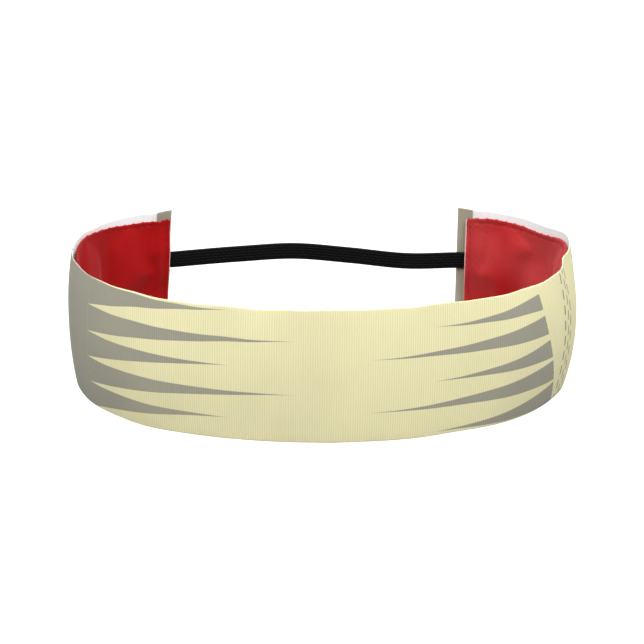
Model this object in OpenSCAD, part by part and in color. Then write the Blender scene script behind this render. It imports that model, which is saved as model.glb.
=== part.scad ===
// Sports headband: a printed grosgrain ribbon lined with velvet, closed at the back by a braided elastic.
// The band stands on its bottom edge. +Y points to the back of the head, -Y to the forehead, +Z is up.
// Seen from above, each half of the band is a chain of three arcs that meet tangent to tangent:
// the forehead, the side of the head and the arm that curls back towards the elastic.
// A place along the chain is given by its turn, the angle turned since the middle of the forehead,
// and a layer by its depth, the distance inwards from the printed face.
// Each arc is a run of flat facets, one stitch long, so that the layers and the stitches lie parallel.

/* [Ribbon] */
// Width of the grosgrain ribbon, from its bottom edge to its top edge
ribbon_w = 50.8; // [38:0.1:60]
// Thickness of the grosgrain ribbon
ribbon_t = 0.5; // [0.3:0.05:0.7]
// Length of ribbon that is folded inside at each end
hem_len = 6; // [5:0.5:13]

/* [Loop] */
// Radius of the forehead arc, at the printed face
front_r = 137; // [120:1:160]
// Turn of the forehead arc, from its middle to one end, in degrees
front_turn = 26; // [22:1:30]
// Radius of the arc at each side of the head
side_r = 61; // [55:1:70]
// Turn of each side arc, in degrees
side_turn = 73; // [68:1:76]
// Radius of each arm that curls towards the elastic
arm_r = 42; // [38:1:50]
// Turn of each arm, in degrees
arm_turn = 74; // [68:1:74]

/* [Lining] */
// Width of the velvet lining
lining_w = 44.5; // [32:0.5:48]
// Thickness of the velvet with its pile
lining_t = 1; // [0.8:0.1:1.4]
// Distance from the ribbon's left end to the lining's left end
left_setback = 0.8; // [0.5:0.1:6]
// Distance from the ribbon's right end to the lining's right end
right_setback = 3.5; // [0.5:0.1:6]

/* [Elastic] */
// Width of the braided elastic
elastic_w = 6.8; // [6:0.1:8]
// Height of the elastic's middle above the band's bottom edge
elastic_z = 30; // [20:0.5:32]
// Thickness of the braided elastic
elastic_t = 1.3; // [1.1:0.1:1.6]
// Length of elastic sewn in between the ribbon and the lining at each end
tail_len = 19; // [17:1:21]
// Number of rubber strands inside the braid
core_count = 6; // [4:1:6]
// Thickness of one rubber strand, which is cut square
core_t = 0.6; // [0.4:0.05:0.7]

/* [Stitching] */
// Radius of the sewing thread
thread_r = 0.18; // [0.12:0.01:0.2]
// Distance from one stitch to the next
stitch_pitch = 3; // [2.5:0.25:4]
// Visible length of one stitch
stitch_len = 2.2; // [1.6:0.1:2.3]
// Distance from the lining's edge to its line of stitches
seam_inset = 2; // [1.5:0.1:3]

/* [Hidden] */

gap = 0.05;          // clearance between one layer and the next
notch_w = 1;         // width of the dent that a line of stitches pulls into the velvet
notch_d = 0.45;      // depth of that dent
lining_fold = 8;     // length of velvet that is turned under at each end
fold_t = 0.6;        // thickness of the turned velvet, pressed flat
rise_at = 27;        // distance from the ribbon's end to where the lining climbs over the elastic
rise_len = 2;        // length of that climb
tack_at = 10.5;      // distance from the ribbon's end to the elastic's tack
tack_rows = 9;       // rows of thread in one tack
tack_pitch = 0.7;    // distance between those rows
tack_margin = 1;     // elastic left bare above and below the tack
end_seam_inset = 2;  // distance from the lining's end to the end seam
past = 1;            // how far a cut runs past what it cuts, in mm or in degrees
elastic_facets = 8;  // facets in each section of the elastic's arc
elastic_slit = 0.6;  // half of the slit between two sections of the elastic, in mm

// Depths of the layers, counted inwards from the printed face
lining_depth = ribbon_t + gap;
hem_depth = ribbon_t + gap;
elastic_depth = hem_depth + ribbon_t + gap;
tack_depth = elastic_depth + elastic_t + thread_r + gap / 2;
turned_depth = elastic_depth + elastic_t + 2 * thread_r + gap;
raised_depth = turned_depth + fold_t;
face_thread_depth = -thread_r - gap / 2;
lining_thread_depth = lining_t - notch_d + thread_r + gap / 2;

// Turns where the arcs change, and where the band bends as it opens
radii = [front_r, side_r, arm_r];
turns = [0, front_turn, front_turn + side_turn, front_turn + side_turn + arm_turn];
end_turn = turns[3];
flex_turn = front_turn + side_turn / 2;
flex_slit = 0.6;     // half of the slit at the bend, in degrees
front_end = flex_turn - flex_slit;
arm_start = flex_turn + flex_slit;

// Centres of the arcs on the right-hand half, with the forehead's printed face at y = 0
function from_centre(r, turn) = [r * sin(turn), -r * cos(turn)];
front_c = [0, front_r];
side_c = front_c + from_centre(front_r - side_r, turns[1]);
arm_c = side_c + from_centre(side_r - arm_r, turns[2]);
centres = [front_c, side_c, arm_c];

// The elastic is one more arc, tangent to both arms, cut at its middle and halfway along each half
reach = arm_c[0] / sin(end_turn);
elastic_c = arm_c + from_centre(-reach, end_turn);
back_y = elastic_c[1] + arm_r + reach - elastic_depth;
front_y = face_thread_depth - thread_r;
mid_y = (front_y + back_y) / 2;

lining_z = (ribbon_w - lining_w) / 2;
bottom_seam_z = lining_z + seam_inset;
top_seam_z = ribbon_w - bottom_seam_z;
end_seam_len = top_seam_z - bottom_seam_z;
function arm_angle(length) = length / arm_r * 180 / PI;
function setback(right) = right ? right_setback : left_setback;
function lining_end(right) = end_turn - arm_angle(setback(right));
rise_start = end_turn - arm_angle(rise_at);
rise_end = rise_start + arm_angle(rise_len);

// ---- Paths along the band, seen from above ----

facets = [for (i = [0 : 2]) round((turns[i + 1] - turns[i]) * PI / 180 * radii[i] / stitch_pitch)];
steps = [for (i = [0 : 2]) (turns[i + 1] - turns[i]) / facets[i]];
corner_turns = [for (i = [0 : 2]) for (k = [0 : facets[i] - 1]) turns[i] + k * steps[i]];
function arc_at(turn) = turn < turns[1] ? 0 : turn < turns[2] ? 1 : 2;
function on_arc(i, turn, depth) = centres[i] + from_centre(radii[i] - depth, turn);

// The point at this turn and depth, on the facet that holds it
function spot(turn, depth) =
    let (i = arc_at(turn), before = turns[i] + floor((turn - turns[i]) / steps[i]) * steps[i],
        share = (turn - before) / steps[i])
    on_arc(i, before, depth) * (1 - share) + on_arc(i, before + steps[i], depth) * share;

function path(from, to, depth) =
    [for (turn = concat([from], [for (c = corner_turns) if (c > from && c < to) c], [to])) spot(turn, depth)];

function reversed(points) = [for (i = [len(points) - 1 : -1 : 0]) points[i]];
function both_sides(points) =
    concat([for (i = [len(points) - 1 : -1 : 1]) [-points[i][0], points[i][1]]], points);

// ---- Building blocks ----

// Moves the right-hand half into the part's frame, or its mirror image for the left
module side(right = true) {
    translate([0, -mid_y, 0]) mirror([right ? 0 : 1, 0, 0]) children();
}

// A wall that stands between two paths, from height z to z + w
module wall(outer, inner, z, w) {
    translate([0, 0, z]) linear_extrude(w) polygon(concat(outer, reversed(inner)));
}

// One straight stitch in the middle of the facet that starts at this turn, along the band or upright
module stitch(turn, depth, z, length, upright = false) {
    i = arc_at(turn);
    mid = turn + steps[i] / 2;
    p = spot(mid, depth);
    translate([p[0], p[1], z]) rotate([0, upright ? 0 : 90, mid])
        cylinder(r = thread_r, h = length, center = true, $fn = 24);
}

// One stitch on every whole facet between two turns
module stitch_row(from, to, depth, z) {
    for (turn = corner_turns)
        if (turn >= from && turn + steps[arc_at(turn)] <= to) stitch(turn, depth, z, stitch_len);
}

// ---- Ribbon ----

module ribbon_front() {
    color("khaki") side()
        wall(both_sides(path(0, front_end, 0)), both_sides(path(0, front_end, ribbon_t)), 0, ribbon_w);
}

// The arm's ribbon, with its end folded inside as a hem
module ribbon_arm(right) {
    hem_start = end_turn - arm_angle(hem_len);
    fold = end_turn - arm_angle(ribbon_t);
    color("darkgray") side(right) wall(
        concat(path(arm_start, end_turn, 0), reversed(path(hem_start, end_turn, hem_depth + ribbon_t))),
        concat(path(arm_start, fold, ribbon_t), reversed(path(hem_start, fold, hem_depth))),
        0, ribbon_w);
}

// ---- Lining ----

// The forehead's lining at a depth below its velvet face; extra carries a cut past its ends
function front_lining(depth, extra = 0) = both_sides(path(0, front_end + extra, lining_depth + depth));

// The arm's lining, which climbs over the elastic's tail
function arm_lining(right, depth, extra = 0) = concat(
    path(arm_start - extra, rise_start, lining_depth + depth),
    path(rise_end, lining_end(right) + extra, raised_depth + depth));

// Cuts the dents of the two long seams
module seam_dents(outer, inner) {
    for (z = [bottom_seam_z, top_seam_z])
        wall(outer, inner, z - notch_w / 2, notch_w);
}

module lining_front() {
    color("firebrick") side() difference() {
        wall(front_lining(0), front_lining(lining_t), lining_z, lining_w);
        seam_dents(front_lining(lining_t - notch_d, past), front_lining(lining_t + past, past));
    }
}

// The arm's lining ends in a fold that is turned under and in the dent of the end seam
module lining_arm(right) {
    last = lining_end(right);
    fold_start = last - arm_angle(lining_fold);
    seam = last - arm_angle(end_seam_inset);
    half = arm_angle(notch_w / 2);
    color("firebrick") side(right) difference() {
        wall(
            concat(path(arm_start, rise_start, lining_depth), path(rise_end, fold_start, raised_depth),
                path(fold_start, last, turned_depth)),
            arm_lining(right, lining_t), lining_z, lining_w);
        seam_dents(arm_lining(right, lining_t - notch_d, past), arm_lining(right, lining_t + past, past));
        wall(
            path(seam - half, seam + half, raised_depth + lining_t - notch_d),
            path(seam - half, seam + half, raised_depth + lining_t + past),
            lining_z - past, lining_w + 2 * past);
    }
}

// ---- Stitching ----

// Thread of a long seam on the printed face
module face_thread_front(z) {
    color("ivory") for (right = [true, false]) side(right) stitch_row(0, front_end, face_thread_depth, z);
}

module face_thread_arm(right, z) {
    color("ivory") side(right)
        stitch_row(arm_start, lining_end(right) - arm_angle(2 * end_seam_inset), face_thread_depth, z);
}

// Thread of a long seam on the velvet
module lining_thread_front(z) {
    color("red") for (right = [true, false]) side(right)
        stitch_row(0, front_end, lining_depth + lining_thread_depth, z);
}

module lining_thread_arm(right, z) {
    color("red") side(right) {
        stitch_row(arm_start, rise_start, lining_depth + lining_thread_depth, z);
        stitch_row(rise_end, lining_end(right) - arm_angle(2 * end_seam_inset),
            raised_depth + lining_thread_depth, z);
    }
}

// Upright seam that closes one end of the band
module end_seam(right, depth) {
    count = floor(end_seam_len / stitch_pitch);
    step = end_seam_len / count;
    turn = lining_end(right) - arm_angle(end_seam_inset);
    p = spot(turn, depth);
    side(right) for (n = [0 : count - 1])
        translate([p[0], p[1], bottom_seam_z + (n + 0.5) * step - stitch_len / 2])
            cylinder(r = thread_r, h = stitch_len, $fn = 24);
}

module end_face_thread(right) {
    color("ivory") end_seam(right, face_thread_depth);
}

module end_lining_thread(right) {
    color("red") end_seam(right, raised_depth + lining_thread_depth);
}

// Dense upright rows that hold the elastic's tail to the ribbon
module elastic_tack(right) {
    length = elastic_w - 2 * tack_margin;
    color("dimgray") side(right) for (n = [0 : tack_rows - 1]) {
        p = spot(end_turn - arm_angle(tack_at + n * tack_pitch), tack_depth);
        translate([p[0], p[1], elastic_z - length / 2]) cylinder(r = thread_r, h = length, $fn = 24);
    }
}

// ---- Elastic ----

span_len = (arm_r + reach - elastic_depth) * (180 - end_turn) * PI / 180;

// Half of the elastic's arc, between two distances from the pocket's mouth
function span_path(from, to, depth) = [for (k = [0 : elastic_facets])
    let (length = from + (to - from) * k / elastic_facets)
    elastic_c + from_centre(arm_r - depth + reach, end_turn + length / span_len * (180 - end_turn))];

// One section's path: its tail in the pocket, its span from the mouth, or its middle.
// Extra carries a cut past the section's ends.
function section_path(section, depth, extra = 0) =
    section == "tail"
        ? path(end_turn - arm_angle(tail_len + extra), end_turn - arm_angle(elastic_slit - extra), depth)
    : section == "span"
        ? span_path(elastic_slit - extra, span_len / 2 - elastic_slit + extra, depth)
        : span_path(span_len / 2 + elastic_slit - extra, span_len - elastic_slit + extra, depth);

// A run of one section with this thickness and width, about the elastic's own middle
module elastic_run(section, t, w, z = 0, extra = 0) {
    mid = elastic_depth + elastic_t / 2;
    wall(section_path(section, mid - t / 2, extra), section_path(section, mid + t / 2, extra),
        elastic_z + z - w / 2, w);
}

// A flat braided sleeve, open at both ends
module elastic_braid(right, section) {
    wall_t = (elastic_t - core_t) / 2 - gap;
    color("#1c1c1e") side(right) difference() {
        elastic_run(section, elastic_t, elastic_w);
        elastic_run(section, elastic_t - 2 * wall_t, elastic_w - 2 * wall_t, extra = past);
    }
}

// Square-cut rubber strands that lie side by side inside the sleeve
module rubber_strands(right, section) {
    pitch = (elastic_w - elastic_t + core_t) / core_count;
    color("tan") side(right) for (n = [0 : core_count - 1])
        elastic_run(section, core_t, core_t, (n - (core_count - 1) / 2) * pitch);
}

// ---- Nodes ----

ribbon_front();
ribbon_arm(false);  // ribbon_left_arm
ribbon_arm(true);  // ribbon_right_arm
lining_front();
lining_arm(false);  // lining_left_arm
lining_arm(true);  // lining_right_arm
face_thread_front(top_seam_z);  // top_seam_face_thread_front
face_thread_arm(false, top_seam_z);  // top_seam_face_thread_left_arm
face_thread_arm(true, top_seam_z);  // top_seam_face_thread_right_arm
face_thread_front(bottom_seam_z);  // bottom_seam_face_thread_front
face_thread_arm(false, bottom_seam_z);  // bottom_seam_face_thread_left_arm
face_thread_arm(true, bottom_seam_z);  // bottom_seam_face_thread_right_arm
lining_thread_front(top_seam_z);  // top_seam_lining_thread_front
lining_thread_arm(false, top_seam_z);  // top_seam_lining_thread_left_arm
lining_thread_arm(true, top_seam_z);  // top_seam_lining_thread_right_arm
lining_thread_front(bottom_seam_z);  // bottom_seam_lining_thread_front
lining_thread_arm(false, bottom_seam_z);  // bottom_seam_lining_thread_left_arm
lining_thread_arm(true, bottom_seam_z);  // bottom_seam_lining_thread_right_arm
end_face_thread(false);  // left_end_face_thread
end_face_thread(true);  // right_end_face_thread
end_lining_thread(false);  // left_end_lining_thread
end_lining_thread(true);  // right_end_lining_thread
elastic_tack(false);  // left_elastic_tack
elastic_tack(true);  // right_elastic_tack
elastic_braid(false, "tail");  // elastic_braid_left_tail
elastic_braid(false, "span");  // elastic_braid_left_span
elastic_braid(false, "middle");  // elastic_braid_left_middle
elastic_braid(true, "tail");  // elastic_braid_right_tail
elastic_braid(true, "span");  // elastic_braid_right_span
elastic_braid(true, "middle");  // elastic_braid_right_middle
rubber_strands(false, "tail");  // rubber_strands_left_tail
rubber_strands(false, "span");  // rubber_strands_left_span
rubber_strands(false, "middle");  // rubber_strands_left_middle
rubber_strands(true, "tail");  // rubber_strands_right_tail
rubber_strands(true, "span");  // rubber_strands_right_span
rubber_strands(true, "middle");  // rubber_strands_right_middle
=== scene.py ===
import math

import bpy
import numpy as np
from mathutils import Matrix, Vector


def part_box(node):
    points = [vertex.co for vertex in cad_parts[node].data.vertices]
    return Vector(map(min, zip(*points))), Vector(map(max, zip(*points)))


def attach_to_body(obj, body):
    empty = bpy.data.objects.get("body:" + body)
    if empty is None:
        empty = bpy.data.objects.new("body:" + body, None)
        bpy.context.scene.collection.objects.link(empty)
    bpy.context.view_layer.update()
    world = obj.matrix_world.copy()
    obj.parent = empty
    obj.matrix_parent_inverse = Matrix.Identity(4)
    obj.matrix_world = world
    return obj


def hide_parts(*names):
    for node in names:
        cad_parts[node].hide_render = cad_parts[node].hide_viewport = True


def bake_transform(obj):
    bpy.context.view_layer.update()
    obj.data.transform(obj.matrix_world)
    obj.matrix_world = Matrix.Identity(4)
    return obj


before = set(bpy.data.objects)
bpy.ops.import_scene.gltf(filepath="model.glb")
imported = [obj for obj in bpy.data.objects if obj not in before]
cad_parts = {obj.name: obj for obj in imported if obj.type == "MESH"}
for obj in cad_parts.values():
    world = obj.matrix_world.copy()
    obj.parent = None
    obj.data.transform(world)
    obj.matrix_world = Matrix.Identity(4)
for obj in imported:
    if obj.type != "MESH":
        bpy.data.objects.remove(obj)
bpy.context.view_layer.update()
MM = 0.001

# ---- Driving dimensions, in millimetres ----
# A place on the band is (s, z): s along the printed face from the middle of the forehead, negative on
# the left, and z the height. Depth is the distance inwards from the printed face.

ARCS = ((137.0, 26.0), (61.0, 73.0), (42.0, 74.0))  # radius, and turn in degrees, of forehead, side and arm
LENGTH = sum(r * math.radians(turn) for r, turn in ARCS)
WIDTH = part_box("ribbon_front")[1].z / MM
FRONT_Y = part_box("ribbon_front")[0].y / MM
RIBBON_T, GAP, HEM = 0.5, 0.05, 6.0
LINING_W, LINING_T, FOLD_T = 44.5, 1.0, 0.6
LINING_Z = (WIDTH - LINING_W) / 2
SETBACK = {-1: 0.4, 1: 3.5}  # how far the lining stops short of the band's end
SEAM_INSET = 2.0
STITCH, STITCH_LEN, THREAD_R = 3.0, 2.2, 0.18
ELASTIC_W, ELASTIC_T, TAIL = 6.8, 1.3, 19.0
# The elastic's wave across the back: x, and the height of its middle
ELASTIC_SAG = ((-57, 30.8), (-30, 32.3), (-8, 33.1), (14, 31.1), (38, 28.7), (57, 29.3))
SAG_END = 57.0
ELASTIC_DEPTH = 2 * (RIBBON_T + GAP) + ELASTIC_T / 2
SLACK_START = 6.0  # length of elastic outside the pocket that doesn't stretch
RIB_PITCH, RIB_DEPTH = 0.85, 0.11
SIDES = {-1: "left", 1: "right"}

# How far the middle of the band's height bulges beyond its rims, at places along it
BARREL = (
    (-LENGTH, 1.0), (-135, 2.2), (-100, 2.4), (-60, 1.6), (0, 0.8), (60, 1.6), (100, 3.4), (135, 3.2),
    (LENGTH, 1.0))
# Depth, place and breadth of the dent and of the bulge in the top rim on the right
RIM_DENTS = ((2.3, 114, 9), (-0.9, 137, 8))
RIM_LIFT = (1.6, 138, 9)  # height, place and breadth of the rise of the top rim on the right
END_SLANT = {-1: 2.5, 1: 0.1}  # how far the band's ends lean back at their bottom
END_LIFT = 1.1  # how far the top corner of an end stands up


def smooth(x, a, b):
    t = np.clip((np.asarray(x, float) - a) / (b - a), 0, 1)
    return t * t * (3 - 2 * t)


def hump(x, middle, breadth):
    return np.exp(-(((x - middle) / breadth) ** 2))


def spline(knots, values, x):
    """Smooth interpolation of values, given at knots along their first axis, at the places x."""
    knots, values, x = np.asarray(knots, float), np.asarray(values, float), np.asarray(x, float)
    i = np.clip(np.searchsorted(knots, x) - 1, 0, len(knots) - 2)
    h = knots[i + 1] - knots[i]
    t = (x - knots[i]) / h
    slope = np.gradient(values, knots, axis=0)
    wide = (...,) + (None,) * (values.ndim - 1)
    t, h = t[wide], h[wide]
    return ((2 * t**3 - 3 * t**2 + 1) * values[i] + (t**3 - 2 * t**2 + t) * h * slope[i]
            + (3 * t**2 - 2 * t**3) * values[i + 1] + (t**3 - t**2) * h * slope[i + 1])


def plan(length):
    """x, y and heading of the printed face this far round the right-hand half."""
    s = np.asarray(length, float)
    x, y, turn, start = np.zeros(s.shape), np.zeros(s.shape), np.zeros(s.shape), 0.0
    for i, (r, angle) in enumerate(ARCS):
        part = np.clip(s - start, 0, None if i == len(ARCS) - 1 else r * math.radians(angle)) / r
        x += r * (np.sin(turn + part) - np.sin(turn))
        y += r * (np.cos(turn) - np.cos(turn + part))
        turn = turn + part
        start += r * math.radians(angle)
    return x, y + FRONT_Y, turn


def swell(s, z):
    """How far the cloth stands out from its plan: a barrel, slow waves and the dents of the top rim."""
    barrel = np.interp(s, *zip(*BARREL)) * (1 - (2 * z / WIDTH - 1) ** 2)
    waves = 0.2 * np.sin(s / 9.3 + 0.7) + 0.2 * np.sin(s / 15.1 + z / 14.0) + 0.08 * np.sin(s / 4.1 - z / 9.0)
    dents = sum(depth * hump(s, middle, breadth) for depth, middle, breadth in RIM_DENTS)
    return barrel + waves * smooth(np.abs(s), 0, 30) - dents * smooth(z, WIDTH - 20, WIDTH)


def place(side, s, z, depth):
    """Points at distance s along one half, height z and this depth inwards from the printed face."""
    s, z, depth = np.broadcast_arrays(np.asarray(s, float), np.asarray(z, float), np.asarray(depth, float))
    slant = END_SLANT[side] * (1 - z / WIDTH) * smooth(s, LENGTH - 50, LENGTH)
    x, y, turn = plan(s - slant)
    out = swell(side * s, z) - depth
    rim = smooth(z, WIDTH / 2, WIDTH)
    ripple = 0.15 * np.sin(s / 5.3) + 0.12 * np.sin(s / 2.9 + 1)
    lift = rim * (END_LIFT * smooth(s, LENGTH - 9, LENGTH) + ripple)
    if side > 0:
        height, middle, breadth = RIM_LIFT
        lift = lift + rim * height * hump(s, middle, breadth)
    sink = (1 - rim) * smooth(WIDTH / 2 - z, 0, WIDTH / 2) * 0.1 * (1 + np.sin(s / 6.1))
    return np.stack([side * (x + np.sin(turn) * out), y - np.cos(turn) * out, z + lift + sink], axis=-1)


# ---- Meshes ----


def mesh_object(name, points, faces, materials, face_material=None, band=None, layer="band"):
    """A smooth mesh. Band holds a vector for each point, kept as the attribute named by layer."""
    mesh = bpy.data.meshes.new(name)
    mesh.from_pydata((np.asarray(points) * MM).tolist(), [], faces)
    for m in materials:
        mesh.materials.append(m)
    if face_material is not None:
        mesh.polygons.foreach_set("material_index", np.asarray(face_material, np.int32))
    mesh.polygons.foreach_set("use_smooth", np.ones(len(mesh.polygons), bool))
    if band is not None:
        attribute = mesh.attributes.new(layer, "FLOAT_VECTOR", "POINT")
        attribute.data.foreach_set("vector", np.asarray(band, np.float32).ravel())
    mesh.update()
    obj = bpy.data.objects.new(name, mesh)
    bpy.context.scene.collection.objects.link(obj)
    return obj


def loft(count, size, ends=(True, True)):
    """Faces of a tube through count rings of size points each; an end is closed with a strip of quads."""
    index = np.arange(count * size).reshape(count, size)
    nxt = np.roll(index, -1, axis=1)
    faces = np.stack([index[:-1], nxt[:-1], nxt[1:], index[1:]], -1).reshape(-1, 4)
    half = np.arange(size // 2 - 1)

    def cap(row):
        return np.stack([row[size - 1 - half], row[size - 2 - half], row[half + 1], row[half]], -1)

    if ends[0]:
        faces = np.concatenate([faces, cap(index[0])])
    if ends[1]:
        faces = np.concatenate([faces, cap(index[-1])[:, ::-1]])
    return faces


def facing_out(points, faces):
    """The faces, turned so that they enclose a positive volume."""
    p = np.asarray(points)[faces] - np.mean(points, axis=0)
    volume = np.einsum("ij,ij->i", p[:, 0], np.cross(p[:, 1], p[:, 2]) + np.cross(p[:, 2], p[:, 3])).sum()
    return faces if volume > 0 else faces[:, ::-1]


def joined(parts):
    """Several meshes, as pairs of points and faces, made into one."""
    starts = np.cumsum([0] + [len(v) for v, _ in parts[:-1]])
    return np.concatenate([v for v, _ in parts]), np.concatenate([f + n for (_, f), n in zip(parts, starts)])


def thread(points, radius=THREAD_R, sides=8):
    """A round thread through these points, drawn in at both ends."""
    points = np.asarray(points, float)
    along = np.gradient(points, axis=0)
    along /= np.linalg.norm(along, axis=1)[:, None]
    up = np.array([0, 0, 1.0]) if np.abs(along[:, 2]).max() < 0.8 else np.array([0.6, 0.8, 0])
    across = np.cross(along, up)
    across /= np.linalg.norm(across, axis=1)[:, None]
    third = np.cross(across, along)
    a = np.arange(sides) * 2 * math.pi / sides
    r = np.full(len(points), radius)
    r[[0, -1]] *= 0.5
    ring = np.cos(a)[None, :, None] * across[:, None] + np.sin(a)[None, :, None] * third[:, None]
    verts = (points[:, None] + ring * r[:, None, None]).reshape(-1, 3)
    return verts, facing_out(verts, loft(len(points), sides))


# ---- Materials ----


class Finish:
    """A node material under construction. Sockets and plain values can be mixed in every call."""

    def __init__(self, name):
        self.material = bpy.data.materials.new(name)
        self.material.use_nodes = True
        self.nodes, self.links = self.material.node_tree.nodes, self.material.node_tree.links
        self.shader = self.nodes["Principled BSDF"]

    def put(self, socket, value):
        if isinstance(value, bpy.types.NodeSocket):
            self.links.new(value, socket)
        else:
            socket.default_value = value

    def math(self, operation, *values, clamp=False):
        node = self.nodes.new("ShaderNodeMath")
        node.operation = operation
        node.use_clamp = clamp
        for socket, value in zip(node.inputs, values):
            self.put(socket, value)
        return node.outputs[0]

    def both(self, a, b):
        return self.math("MULTIPLY", a, b)

    def either(self, a, b):
        return self.math("MAXIMUM", a, b)

    def line(self, x, x0, y0, x1, y1):
        """y on the straight line through two points."""
        slope = (y1 - y0) / (x1 - x0)
        return self.math("MULTIPLY_ADD", x, slope, y0 - slope * x0)

    def distance(self, a, b):
        return self.math("ABSOLUTE", self.math("SUBTRACT", a, b))

    def mix(self, share, a, b):
        node = self.nodes.new("ShaderNodeMix")
        node.data_type = "RGBA"
        self.put(node.inputs["Factor"], share)
        self.put(node.inputs["A"], a)
        self.put(node.inputs["B"], b)
        return node.outputs["Result"]

    def attribute(self, name):
        node = self.nodes.new("ShaderNodeAttribute")
        node.attribute_name = name
        split = self.nodes.new("ShaderNodeSeparateXYZ")
        self.links.new(node.outputs["Vector"], split.inputs[0])
        return split.outputs[0], split.outputs[1], split.outputs[2]

    def object_x(self):
        split = self.nodes.new("ShaderNodeSeparateXYZ")
        self.links.new(self.nodes.new("ShaderNodeTexCoord").outputs["Object"], split.inputs[0])
        return split.outputs[0]

    def noise(self, scale, detail=2.0):
        place = self.nodes.new("ShaderNodeTexCoord")
        node = self.nodes.new("ShaderNodeTexNoise")
        node.inputs["Scale"].default_value = scale
        node.inputs["Detail"].default_value = detail
        self.links.new(place.outputs["Object"], node.inputs["Vector"])
        return node.outputs["Fac"]

    def bump(self, height, distance, strength=1.0):
        node = self.nodes.new("ShaderNodeBump")
        node.inputs["Distance"].default_value = distance
        node.inputs["Strength"].default_value = strength
        self.links.new(height, node.inputs["Height"])
        self.links.new(node.outputs["Normal"], self.shader.inputs["Normal"])

    def surface(self, color, roughness, sheen=0.0, sheen_tint=(1, 1, 1, 1), specular=0.3):
        self.put(self.shader.inputs["Base Color"], color)
        self.put(self.shader.inputs["Roughness"], roughness)
        self.put(self.shader.inputs["Sheen Weight"], sheen)
        self.put(self.shader.inputs["Sheen Tint"], sheen_tint)
        self.put(self.shader.inputs["Specular IOR Level"], specular)
        return self.material


CREAM = (0.79, 0.743, 0.44, 1)
GREY = (0.315, 0.305, 0.24, 1)
DARK_GREY = (0.2, 0.19, 0.13, 1)
# WHITE is tinted cyan to cancel the red light that the velvet reflects onto it: painted light.
WHITE = (0.9, 0.955, 0.955, 1)
RED = (0.36, 0.003, 0.004, 1)
# The paler red of the painted sheen on the velvet
SHEEN_RED = (0.53, 0.055, 0.058, 1)
BLACK = (0.0015, 0.0015, 0.0017, 1)

# The print is a plain pattern of tapering streaks at an even pitch, five on each side. They grow outwards
# from the forehead, into a grey field on the left and up to a slanting line on the right, with broken
# stripes beyond that line.
STREAKS = 5  # on each side, one above another
STREAK_PITCH = WIDTH / STREAKS
STREAK_TIPS = (36.0, 12.0)  # distance of their tips from the middle of the forehead, in turn
STREAK_ROOT = 98.0  # and of their roots
STREAK_DROP = 1.5  # how far the straight edge slopes
STREAK_TAPER = 1.5  # 1 is a straight wedge, more makes the tip finer
CUT_TOP, CUT_BOTTOM = 80.0, 96.0  # where the slanting line meets the two rims
STRIPES = (98.5, 101.5, 104.5)  # where the broken stripes run
STRIPE_HALF_WIDTH, DASH_SPACING = 0.4, 6.0
DASH_LEVEL = -0.4  # the cosine along a stripe above which there is a dash
# Behind the head a toothed pale strip crosses the grey on the left, and the right turns grey after teeth.
BACK_EDGE, BACK_STRIP = 150.0, 12.0
TOOTH, TOOTH_SLOPE = 6.0, 3.0  # half of a tooth's height, and how far it reaches for each millimetre of that


def streak(f, s, z, side, n):
    """1 on one streak. Its straight edge is its top on the left and its bottom on the right."""
    tip = STREAK_TIPS[n % 2]
    share = f.math("DIVIDE", f.math("SUBTRACT", f.both(s, side), tip), STREAK_ROOT - tip, clamp=True)
    height = z if side > 0 else f.math("SUBTRACT", WIDTH, z)
    edge = f.line(share, 0, n * STREAK_PITCH + STREAK_DROP, 1, n * STREAK_PITCH)
    far = f.math("MULTIPLY_ADD", f.math("POWER", share, STREAK_TAPER), STREAK_PITCH, edge)
    inside = f.both(f.math("GREATER_THAN", height, edge), f.math("LESS_THAN", height, far))
    return f.both(inside, f.math("LESS_THAN", f.distance(share, 0.5), 0.499))


def any_of(f, masks):
    """1 where at least one of the masks is 1."""
    found, *rest = masks
    for mask in rest:
        found = f.either(found, mask)
    return found


def printed_mask(f, s, z):
    """1 where the print is grey."""
    streaks = any_of(f, [streak(f, s, z, side, n) for side in SIDES for n in range(STREAKS)])
    before_cut = f.math("LESS_THAN", s, f.line(z, WIDTH, CUT_TOP, 0, CUT_BOTTOM))
    teeth = f.math("MULTIPLY", f.math("PINGPONG", z, TOOTH), TOOTH_SLOPE)
    before_strip = f.math("GREATER_THAN", f.math("ADD", s, teeth), -BACK_EDGE)
    field = f.both(f.math("LESS_THAN", s, -STREAK_ROOT), before_strip)
    ends = f.math("GREATER_THAN", f.math("ABSOLUTE", s), f.math("ADD", teeth, BACK_EDGE + BACK_STRIP))
    return any_of(f, [f.both(streaks, before_cut), field, ends])


def dash_mask(f, s, z):
    """1 on the dark broken stripes, whose dashes are staggered."""
    masks = []
    for n, stripe in enumerate(STRIPES):
        across = f.math("LESS_THAN", f.distance(s, stripe), STRIPE_HALF_WIDTH)
        turn = f.line(z, 0, n * math.pi, DASH_SPACING, (n + 2) * math.pi)
        masks.append(f.both(across, f.math("GREATER_THAN", f.math("COSINE", turn), DASH_LEVEL)))
    return any_of(f, masks)


RIBS_PAST_END = 400  # whole ribs, enough to count them from beyond the left end


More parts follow.
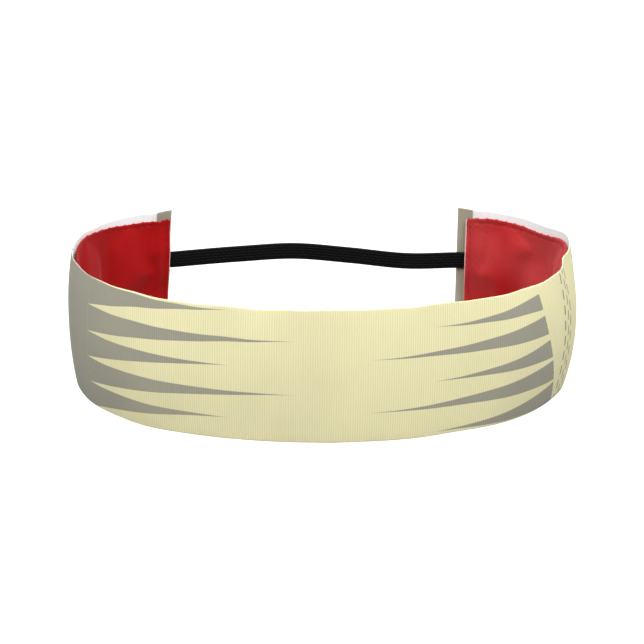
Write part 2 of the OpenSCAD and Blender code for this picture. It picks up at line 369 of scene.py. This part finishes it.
def print_finish(name):
    """The printed grosgrain, with painted shade between its ribs, and a little uneven in tone."""
    f = Finish(name)
    s, z, _ = f.attribute("band")
    uneven = f.math("MULTIPLY_ADD", f.noise(24.0), 0.7, 0.6)
    across_rib = f.math("PINGPONG", f.math("ADD", s, RIBS_PAST_END * RIB_PITCH), RIB_PITCH / 2)
    # Painted shade: the colour darkens towards the valleys between the ribs.
    valley_shade = f.math("POWER", f.math("DIVIDE", across_rib, RIB_PITCH / 2), 2.0)
    ground = f.mix(dash_mask(f, s, z), f.mix(printed_mask(f, s, z), CREAM, GREY), DARK_GREY)
    ground = f.mix(f.both(valley_shade, 0.62), ground, f.mix(0.35, ground, (0.1, 0.09, 0.05, 1)))
    color = f.mix(f.math("SUBTRACT", 1.0, uneven, clamp=True), ground, (0.45, 0.42, 0.26, 1))
    f.bump(f.noise(1500.0), 0.0001, 0.4)
    return f.surface(color, 0.75, sheen=0.15)


GRAIN_SHADE = 0.15  # how much darker a plain finish gets in its grain


def plain_finish(name, color, roughness, grain=1500.0, specular=0.3, glow=0.0):
    """A fibrous finish of one colour. Glow is painted light: an even emission that brightens the cloth."""
    f = Finish(name)
    f.put(f.shader.inputs["Emission Color"], color)
    f.put(f.shader.inputs["Emission Strength"], glow)
    dark = tuple(c * (1 - GRAIN_SHADE) for c in color[:3]) + (1,)
    grain_height = f.noise(grain)
    f.bump(grain_height, 0.0001, 0.5)
    return f.surface(f.mix(grain_height, color, dark), roughness, specular=specular)


def velvet_finish(name):
    """Velvet with a painted sheen of paler red in soft blotches, stronger towards the right, and with the
    white of its backing showing at its cut ends.
    """
    f = Finish(name)
    # Painted sheen: blotchy noise mixes in a paler red, rising towards the right side.
    sheen_to_right = f.math("MULTIPLY_ADD", f.object_x(), 8.0, -1.35)
    painted_sheen = f.math("MULTIPLY_ADD", f.noise(38.0, 1.0), 3.0, sheen_to_right, clamp=True)
    grain = f.noise(2500.0)
    f.bump(grain, 0.0002, 0.5)
    pile = f.mix(f.both(grain, 0.5), f.mix(painted_sheen, RED, SHEEN_RED), (0.2, 0.0, 0.0, 1))
    to_end, z, _ = f.attribute("to_end")
    backing = f.both(f.math("LESS_THAN", to_end, 0.45), f.line(z, 12, 0.15, 48, 0.85))
    pile = f.mix(backing, pile, (0.85, 0.72, 0.7, 1))
    return f.surface(pile, 0.75, sheen=0.22, sheen_tint=(0.95, 0.3, 0.3, 1), specular=0.1)


PRINT = print_finish("printed_grosgrain")
# The back's glow is painted light that brightens the white inside the band.
BACK = plain_finish("grosgrain_back", WHITE, 0.8, glow=0.04)
VELVET = velvet_finish("red_velvet")
RED_THREAD = plain_finish("red_thread", RED, 0.5)
TACK_THREAD = plain_finish("tack_thread", (0.05, 0.05, 0.055, 1), 0.5)
BRAID = plain_finish("black_braid", BLACK, 0.55, grain=3000.0, specular=0.09)
RUBBER = plain_finish("latex_strand", (0.45, 0.35, 0.22, 1), 0.6)


# ---- Ribbon ----

FOLD_R = RIBBON_T + GAP / 2
RIM_ROWS = (0, 0.15, 0.5, 1.5)  # distances from a rim
RIBBON_ROWS = np.concatenate(
    [RIM_ROWS, np.linspace(3, WIDTH - 3, 20), [WIDTH - row for row in reversed(RIM_ROWS)]])


def ribbon_stations():
    """Along one half and round its hem: distance along the ribbon, then s and depth of both its faces."""
    step = RIB_PITCH / 5
    main = np.arange(0, LENGTH - FOLD_R, step)
    turn = np.linspace(0, math.pi, 9)[1:-1]
    back = np.arange(0, HEM - FOLD_R, step)
    hem_s = LENGTH - FOLD_R
    run = np.concatenate([main, hem_s + FOLD_R * turn, hem_s + FOLD_R * math.pi + back])
    printed_s = np.concatenate([main, hem_s + FOLD_R * np.sin(turn), hem_s - back])
    plain_s = np.concatenate([main, hem_s + GAP / 2 * np.sin(turn), hem_s - back])
    printed_d = np.concatenate([0 * main, FOLD_R - FOLD_R * np.cos(turn), 0 * back + 2 * FOLD_R])
    plain_turn = FOLD_R - GAP / 2 * np.cos(turn)
    plain_d = np.concatenate([0 * main + RIBBON_T, plain_turn, 0 * back + RIBBON_T + GAP])
    return run, printed_s, printed_d, plain_s, plain_d


def ribbon(side):
    run, printed_s, printed_d, plain_s, plain_d = (v[:, None] for v in ribbon_stations())
    rib = 0.5 - 0.5 * np.cos(2 * math.pi * run / RIB_PITCH)
    edge = np.where((RIBBON_ROWS == 0) | (RIBBON_ROWS == WIDTH), 0.16, 0.0)
    z = RIBBON_ROWS + np.where(RIBBON_ROWS < WIDTH / 2, 1, -1) * (edge > 0) * 0.12 * rib
    into = np.sign(plain_d - printed_d) + (plain_d == printed_d)
    printed = place(side, printed_s, z, printed_d + into * (edge + RIB_DEPTH * rib))
    plain = place(side, plain_s, z, plain_d - into * (edge + RIB_DEPTH * rib))
    rings = np.concatenate([printed, plain[:, ::-1]], axis=1)
    count, size = rings.shape[:2]
    points = rings.reshape(-1, 3)
    heights = np.concatenate([z, z[:, ::-1]], axis=1)
    band = np.stack(np.broadcast_arrays(side * run, heights, 0.0), -1)
    faces = loft(count, size, ends=(False, True))
    rows = size // 2
    around = (np.arange(size) >= rows) & (np.arange(size) < size - 1)
    kind = np.concatenate([np.tile(around, count - 1), np.zeros(len(faces) - (count - 1) * size, bool)])
    turned = facing_out(points, faces)
    band = band.reshape(-1, 3)
    return mesh_object(f"ribbon_{SIDES[side]}", points, turned.tolist(), [PRINT, BACK], kind, band)


# ---- Lining ----

SEAM_Z = (LINING_Z + SEAM_INSET, WIDTH - LINING_Z - SEAM_INSET)


def sag(x):
    return spline(*zip(*ELASTIC_SAG), np.clip(x, -SAG_END, SAG_END))


# Height of the elastic's middle in each pocket
MOUTH_Z = {side: float(sag(np.array(side * SAG_END))) for side in SIDES}


def lining_back(side, s, z):
    """Depth of the lining's back: over the ribbon, its hem and the elastic's tail, with its own end folded
    under, and buckled inwards a little at the bend."""
    hem = FOLD_R * 2 * smooth(s, LENGTH - HEM - 1.5, LENGTH - HEM + 0.5)
    to_middle = np.abs(z - MOUTH_Z[side])
    over_tail = smooth(s, LENGTH - TAIL - 12, LENGTH - TAIL + 3)
    over_tail = over_tail * (1 - smooth(to_middle, ELASTIC_W / 2 - 0.5, ELASTIC_W / 2 + 11))
    fold = FOLD_T * smooth(s, LENGTH - SETBACK[side] - 9, LENGTH - SETBACK[side] - 7.5)
    buckle = 1.7 * hump(s, 124, 13)
    return RIBBON_T + GAP + hem + over_tail * (ELASTIC_T + 0.3) + fold + buckle


def lining_grid():
    """Columns (s with its sign) and rows (z) of the simulated sheet; the seams lie on columns and rows."""
    left, right = -(LENGTH - SETBACK[-1]), LENGTH - SETBACK[1]
    inner = np.linspace(left + SEAM_INSET, right - SEAM_INSET, 253)
    columns = np.concatenate([[left, left + 1], inner, [right - 1, right]])
    inner_rows = np.linspace(SEAM_INSET, LINING_W - SEAM_INSET, 28)
    rows = np.concatenate([[0, 1], inner_rows, [LINING_W - 1, LINING_W]]) + LINING_Z
    return columns, rows


def lining_rest(columns, rows):
    s, z = np.meshgrid(columns, rows, indexing="ij")
    drift = 1.3 * hump(s, -152, 17) + 0.25 * np.sin(s / 6.7)
    z = z + drift * smooth(z, WIDTH / 2, WIDTH - LINING_Z)
    left = place(-1, np.abs(s), z, lining_back(-1, np.abs(s), z) + LINING_T / 2)
    right = place(1, np.abs(s), z, lining_back(1, np.abs(s), z) + LINING_T / 2)
    return np.where((s < 0)[..., None], left, right)


CLOTH_SCALE = 20.0  # the sheet is simulated this much larger, where the solver behaves well
CLOTH_FRAMES = 40


def simulated_lining():
    """The lining as a cloth held by its stitches: pushed off the ribbon, it puckers between them."""
    columns, rows = lining_grid()
    rest = lining_rest(columns, rows)
    nc, nr = rest.shape[:2]
    index = np.arange(nc * nr).reshape(nc, nr)
    faces = np.stack([index[:-1, :-1], index[:-1, 1:], index[1:, 1:], index[1:, :-1]], -1).reshape(-1, 4)
    sheet = mesh_object("lining_sheet", rest.reshape(-1, 3) * CLOTH_SCALE, faces.tolist(), [])
    pins = np.zeros((nc, nr), bool)
    pins[2:-2:3, [2, -3]] = True
    pins[[2, -3], 2:-2:2] = True
    group = sheet.vertex_groups.new(name="stitches")
    group.add(index[pins].tolist(), 1.0, "REPLACE")
    cloth = sheet.modifiers.new("cloth", "CLOTH")
    c = cloth.settings
    c.quality = 6
    c.mass = 0.3
    c.tension_stiffness = c.compression_stiffness = 15
    c.shear_stiffness = 5
    c.bending_stiffness = 5
    c.air_damping = 4
    c.shrink_min = -0.006
    c.vertex_group_mass = "stitches"
    c.use_pressure = True
    c.uniform_pressure_force = 0.3
    c.effector_weights.gravity = 0
    cloth.collision_settings.use_collision = False
    scene = bpy.context.scene
    scene.frame_start, scene.frame_end = 1, CLOTH_FRAMES
    cloth.point_cache.frame_start, cloth.point_cache.frame_end = 1, CLOTH_FRAMES
    for n in range(1, CLOTH_FRAMES + 1):
        scene.frame_set(n)
    result = sheet.evaluated_get(bpy.context.evaluated_depsgraph_get()).to_mesh()
    co = np.zeros(nc * nr * 3, np.float32)
    result.vertices.foreach_get("co", co)
    bpy.data.objects.remove(sheet)
    scene.frame_set(1)
    moved = co.reshape(nc, nr, 3).astype(float) / MM / CLOTH_SCALE - rest
    _, _, turn = plan(np.abs(columns))
    inward = np.stack([-np.sign(columns) * np.sin(turn), np.cos(turn), 0 * turn], -1)[:, None]
    lifted = (moved * inward).sum(-1, keepdims=True)
    return columns, rows, rest + moved + inward * (np.maximum(lifted, 0) - lifted)


SHEET_COLUMNS, SHEET_ROWS, SHEET = simulated_lining()


def lining_point(side, s, z, off):
    """Points on a grid of s and z, this far inwards from the simulated sheet's middle."""
    signed = side * np.asarray(s, float)
    order = np.argsort(signed)
    along = np.empty((len(signed), len(SHEET_ROWS), 3))
    along[order] = spline(SHEET_COLUMNS, SHEET, signed[order])
    across = spline(SHEET_ROWS, np.swapaxes(along, 0, 1), z)
    points = np.swapaxes(across, 0, 1)
    _, _, turn = plan(np.abs(s))
    inward = np.stack([-side * np.sin(turn), np.cos(turn), 0 * turn], -1)[:, None]
    return points + inward * np.asarray(off)[..., None]


GROOVE, END_GROOVE = 0.3, 0.48  # depth of the sewn grooves along the long edges and along the ends
GROOVE_BREADTH = 0.75
CORNER_R, EDGE_R = 1.5, 0.6  # how the lining's corners and its edges are rounded
END_PUFF = 0.25  # extra thickness between an end seam and the end


def groove(distance):
    return hump(distance, 0, GROOVE_BREADTH)


def lining(side):
    last = LENGTH - SETBACK[side]
    s = np.concatenate([np.arange(0, last - 5, 0.75), np.linspace(last - 5, last, 24)])
    fine = np.linspace(0, 4, 17)
    z = np.concatenate([fine, np.linspace(4, LINING_W - 4, 50)[1:-1], LINING_W - fine[::-1]]) + LINING_Z
    to_rim = np.minimum(z - LINING_Z, LINING_Z + LINING_W - z)[None]
    to_end = (last - s)[:, None]
    edge = np.sqrt(np.clip(1 - (1 - np.clip(np.minimum(to_rim, to_end) / EDGE_R, 0, 1)) ** 2, 0, 1))
    half = LINING_T / 2 * np.maximum(edge, 0.12)
    seams = 0.7 * (groove(z - SEAM_Z[0])[None] + groove(z - SEAM_Z[1])[None])
    seams = np.maximum(GROOVE * seams * (to_end > SEAM_INSET - 0.5), END_GROOVE * groove(to_end - SEAM_INSET))
    pile = 0.05 * np.sin(s * 2.9 + 1.3)[:, None] * np.sin(z * 2.3)[None]
    pile = pile + 0.04 * np.sin(s[:, None] * 1.7 - z[None] * 2.1)
    thick = np.where(to_end < SEAM_INSET, END_PUFF, 0)
    face = lining_point(side, s, z, half - seams + pile * edge + thick * edge)
    back = lining_point(side, s, z, -half)
    rings = np.concatenate([face, back[:, ::-1]], axis=1)
    scallop = 0.3 * (1 - np.abs(np.sin(math.pi * s / 4.4 + 0.5 * np.sin(s / 7))))
    scallop = scallop + 0.1 * np.sin(s * 3.1) + 0.08 * np.sin(s * 5.3)
    outer = np.clip(np.abs(2 * (z - LINING_Z) / LINING_W - 1) * LINING_W / 4 - LINING_W / 4 + 1, 0, 1)
    outer = outer * np.sign(z - WIDTH / 2)
    corner = CORNER_R - np.sqrt(CORNER_R**2 - np.clip(CORNER_R - (last - s), 0, CORNER_R) ** 2)
    rings[..., 2] -= (scallop + corner)[:, None] * np.concatenate([outer, outer[::-1]])
    points = rings.reshape(-1, 3)
    faces = facing_out(points, loft(*rings.shape[:2], ends=(False, True)))
    to_end = np.stack(np.broadcast_arrays(to_end, np.concatenate([z, z[::-1]])[None], 0.0), -1).reshape(-1, 3)
    return mesh_object(f"lining_{SIDES[side]}", points, faces.tolist(), [VELVET], band=to_end, layer="to_end")


# ---- Stitching ----


def stitch_places(side):
    """The middles of the long seams' stitches on one half."""
    return np.arange(STITCH / 2, LENGTH - SETBACK[side] - 2 * SEAM_INSET, STITCH)


# How far a stitch on the lining stands up along its length: its two ends go down into the cloth
STITCH_ARCH = np.array([-0.2, 0, 0.04, 0, -0.2])


def lining_threads(side):
    parts = []
    off = LINING_T / 2 - GROOVE + THREAD_R * 0.3 + STITCH_ARCH[:, None]
    for seam in SEAM_Z:
        for s in stitch_places(side):
            run = np.linspace(s - STITCH_LEN / 2, s + STITCH_LEN / 2, 5)
            parts.append(thread(lining_point(side, run, np.array([seam]), off)[:, 0]))
    points, faces = joined(parts)
    return mesh_object(f"lining_thread_{SIDES[side]}", points, faces.tolist(), [RED_THREAD])


def end_places():
    """The middles of the stitches of an end seam, as heights."""
    count = int((SEAM_Z[1] - SEAM_Z[0]) // STITCH)
    return SEAM_Z[0] + (np.arange(count) + 0.5) * (SEAM_Z[1] - SEAM_Z[0]) / count


def end_lining_thread(side):
    s = np.array([LENGTH - SETBACK[side] - SEAM_INSET])
    off = LINING_T / 2 - END_GROOVE + THREAD_R * 0.3 + STITCH_ARCH[None]
    parts = []
    for middle in end_places():
        z = np.linspace(middle - STITCH_LEN / 2, middle + STITCH_LEN / 2, 5)
        parts.append(thread(lining_point(side, s, z, off)[0]))
    points, faces = joined(parts)
    return mesh_object(f"end_lining_thread_{SIDES[side]}", points, faces.tolist(), [RED_THREAD])


# Depth of a stitch on the printed face along its length
FACE_STITCH_DEPTH = np.array([0.25, 0.13, 0.11, 0.13, 0.25])
FACE_THREAD_R = 0.1


def face_threads(side, name, runs):
    """Clear thread, which shows the print's colours, sunk among the ribs."""
    parts, band = [], []
    for s, z in runs:
        verts, faces = thread(place(side, s, z, FACE_STITCH_DEPTH), radius=FACE_THREAD_R)
        parts.append((verts, faces))
        band.append(np.stack([side * np.repeat(s, 8), np.repeat(z, 8), np.zeros(40)], -1))
    points, faces = joined(parts)
    return mesh_object(name, points, faces.tolist(), [PRINT], band=np.concatenate(band))


def long_face_threads(side):
    run = np.linspace(-STITCH_LEN / 2, STITCH_LEN / 2, 5)
    runs = [(s + run, np.full(5, z)) for z in SEAM_Z for s in stitch_places(side)]
    return face_threads(side, f"face_thread_{SIDES[side]}", runs)


def end_face_threads(side):
    run = np.linspace(-STITCH_LEN / 2, STITCH_LEN / 2, 5)
    s = np.full(5, LENGTH - SETBACK[side] - SEAM_INSET)
    return face_threads(side, f"end_face_thread_{SIDES[side]}", [(s, z + run) for z in end_places()])


# ---- Elastic ----


CORDS = 6  # lengthwise cords of the braid, and rubber strands inside it
STRAND_HALF = 0.25  # half of a strand's thickness


def elastic_middle_line(side, length):
    """Middle of the elastic, at distances from the pocket's mouth, negative in the pocket."""
    length = np.asarray(length, float)
    mouth = place(side, LENGTH, MOUTH_Z[side], ELASTIC_DEPTH)
    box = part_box(f"elastic_braid_{SIDES[side]}_middle")
    back_y = (box[0].y + box[1].y) / 2 / MM + 0.3
    share = np.clip(length, 0, None) / abs(mouth[0])
    x = mouth[0] * (1 - share)
    y = mouth[1] + (back_y - mouth[1]) * (1 - (1 - share) ** 2)
    outside = np.stack([x, y, sag(x)], -1)
    inside = place(side, LENGTH + np.minimum(length, 0), MOUTH_Z[side], ELASTIC_DEPTH)
    return np.where((length < 0)[..., None], inside, outside)


def elastic_sweep(side, lengths, ring_z, ring_d):
    """A section swept along the elastic. Ring_z and ring_d hold its heights and depths, a row per length."""
    middle = elastic_middle_line(side, lengths)
    along = np.gradient(middle, axis=0)
    along[:, 2] = 0
    along /= np.linalg.norm(along, axis=1)[:, None]
    inward = np.stack([along[:, 1], -along[:, 0], 0 * along[:, 0]], -1) * side
    points = middle[:, None] + inward[:, None] * ring_d[..., None]
    points[..., 2] += ring_z
    return points


def braid(side, name, start, end, ends):
    """A flat sleeve of lengthwise cords that cross over one another as a braid does."""
    lengths = np.linspace(start, end, int((end - start) / 0.3) + 1)
    columns = CORDS * 8
    across = (np.arange(columns + 1) / columns * 2 - 1) * ELASTIC_W / 2
    cord = np.floor((across / ELASTIC_W + 0.5) * CORDS * 0.9999)
    round_ = np.abs(np.sin(math.pi * (across / ELASTIC_W + 0.5) * CORDS))
    body = np.sqrt(np.clip(1 - np.abs(2 * across / ELASTIC_W) ** 6, 0.02, 1))
    weave = 0.05 * np.sin(2 * math.pi * lengths[:, None] / 2.2 + math.pi * cord[None])
    half = (ELASTIC_T / 2 - 0.25 + 0.23 * round_)[None] * body[None] + weave * body[None] * round_[None]
    ring_d = np.concatenate([half, -half[:, ::-1]], axis=1)
    ring_z = np.broadcast_to(np.concatenate([across, across[::-1]]), ring_d.shape)
    points = elastic_sweep(side, lengths, ring_z, ring_d)
    faces = facing_out(points.reshape(-1, 3), loft(*points.shape[:2], ends=ends))
    return mesh_object(name, points.reshape(-1, 3), faces.tolist(), [BRAID])


def strands(side, name, start, end, ends):
    """Rubber strands, cut square, side by side inside the braid."""
    lengths = np.linspace(start, end, int(end - start) + 1)
    pitch = (ELASTIC_W - 1.4) / CORDS
    corner = [(-1, -0.7), (-0.7, -1), (0.7, -1), (1, -0.7), (1, 0.7), (0.7, 1), (-0.7, 1), (-1, 0.7)]
    corner = np.array(corner) * STRAND_HALF
    parts = []
    for n in range(CORDS):
        ring_d = np.broadcast_to(corner[:, 0], (len(lengths), 8))
        ring_z = np.broadcast_to(corner[:, 1] + (n - (CORDS - 1) / 2) * pitch, (len(lengths), 8))
        points = elastic_sweep(side, lengths, ring_z, ring_d).reshape(-1, 3)
        parts.append((points, facing_out(points, loft(len(lengths), 8, ends=ends))))
    points, faces = joined(parts)
    return mesh_object(name, points, faces.tolist(), [RUBBER])


def tack(side):
    """Rows of thread across the elastic's tail that hold it to the ribbon."""
    parts = []
    for n in range(9):
        s = LENGTH - 10.5 - 0.7 * n
        z = MOUTH_Z[side] + np.linspace(-1, 1, 7) * (ELASTIC_W / 2 - 1)
        parts.append(thread(place(side, np.full(7, s), z, ELASTIC_DEPTH + ELASTIC_T / 2 + 0.08)))
    points, faces = joined(parts)
    return mesh_object(f"elastic_tack_{SIDES[side]}", points, faces.tolist(), [TACK_THREAD])


# ---- Assembly ----


def attach(side):
    """Build the pieces of one half and hide the nodes that they replace; tie the end threads and the tack to
    the arm's body.
    """
    name = SIDES[side]
    arm, span, middle = f"{name}_arm", f"{name}_elastic", f"{name}_elastic_middle"

    def cloth(piece, slot, *nodes):
        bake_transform(piece)
        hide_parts(*nodes)

    cloth(ribbon(side), "grosgrain", "ribbon_front", f"ribbon_{name}_arm")
    cloth(lining(side), "velvet", "lining_front", f"lining_{name}_arm")
    for kind, piece in (("face", long_face_threads(side)), ("lining", lining_threads(side))):
        seams = [f"{edge}_seam_{kind}_thread" for edge in ("top", "bottom")]
        cloth(piece, f"{kind}_thread", *(f"{seam}_{part}" for seam in seams for part in ("front", arm)))

    def on_arm(piece, node):
        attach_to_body(piece, arm)
        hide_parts(node)

    on_arm(end_face_threads(side), f"{name}_end_face_thread")
    on_arm(end_lining_thread(side), f"{name}_end_lining_thread")
    on_arm(tack(side), f"{name}_elastic_tack")

    reach = abs(elastic_middle_line(side, 0.0)[0])
    stretch = [Vector(elastic_middle_line(side, d)) * MM for d in (SLACK_START, reach)]
    kinds = ((braid, "elastic_braid", "elastic_braid"), (strands, "rubber_strand", "rubber_strands"))
    for build, slot, node in kinds:
        near = build(side, f"{node}_{name}_pocket", -TAIL, SLACK_START, (True, False))
        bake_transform(near)
        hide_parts(f"{node}_{name}_tail")
        far = build(side, f"{node}_{name}_span", SLACK_START, reach, (False, False))
        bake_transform(far)
        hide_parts(f"{node}_{name}_span", f"{node}_{name}_middle")


for side in SIDES:
    attach(side)


# ---- Studio ----


def floor():
    """A pale sheet that looks white to the camera and sends little light back up."""
    f = Finish("paper")
    f.put(f.shader.inputs["Emission Color"], (1, 1, 1, 1))
    f.put(f.shader.inputs["Emission Strength"], f.nodes.new("ShaderNodeLightPath").outputs["Is Camera Ray"])
    f.surface((0.35, 0.35, 0.35, 1), 0.9, specular=0.0)
    far, level = 4000.0, -0.2
    corners = [(-far, -far, level), (far, -far, level), (far, far, level), (-far, far, level)]
    piece = mesh_object("floor", corners, [(0, 1, 2, 3)], [f.material])


def area_light(name, location, target, size, power):
    data = bpy.data.lights.new(name, "AREA")
    data.size, data.energy = size, power
    light = bpy.data.objects.new(name, data)
    light.location = location
    light.rotation_mode = "QUATERNION"
    light.rotation_quaternion = (Vector(target) - Vector(location)).to_track_quat("-Z", "Y")
    bpy.context.scene.collection.objects.link(light)


def studio():
    scene = bpy.context.scene
    scene.view_settings.view_transform = "Standard"
    world = bpy.data.worlds.new("soft_white")
    world.use_nodes = True
    world.node_tree.nodes["Background"].inputs["Color"].default_value = (1, 1, 1, 1)
    world.node_tree.nodes["Background"].inputs["Strength"].default_value = 0.32
    scene.world = world
    area_light("key", (-0.55, -0.85, 1.1), (0, 0, 0.03), 0.5, 8.4)
    area_light("fill", (0.55, -0.85, 1.1), (0, 0, 0.03), 0.5, 7.4)
    area_light("top", (0, -0.12, 0.35), (0, 0.03, 0.03), 0.25, 0.95)
    for side in SIDES:
        area_light(f"side_{SIDES[side]}", (side * 1.1, 0, 0.9), (0, 0, 0.03), 0.5, 5.3)


def camera():
    data = bpy.data.cameras.new("camera")
    data.lens, data.sensor_width = 119.3, 36
    data.clip_end = 20
    cam = bpy.data.objects.new("camera", data)
    cam.location = Vector((-49.4, -753.3, 314.6)) * MM
    down, yaw, roll = math.radians(21.03), math.radians(3.72), math.radians(0.707)
    look = Vector((math.sin(yaw) * math.cos(down), math.cos(yaw) * math.cos(down), -math.sin(down)))
    cam.rotation_mode = "QUATERNION"
    turned = look.to_track_quat("-Z", "Y").to_matrix() @ Matrix.Rotation(roll, 3, "Z")
    cam.rotation_quaternion = turned.to_quaternion()
    bpy.context.scene.collection.objects.link(cam)
    bpy.context.scene.camera = cam


floor()
studio()
camera()
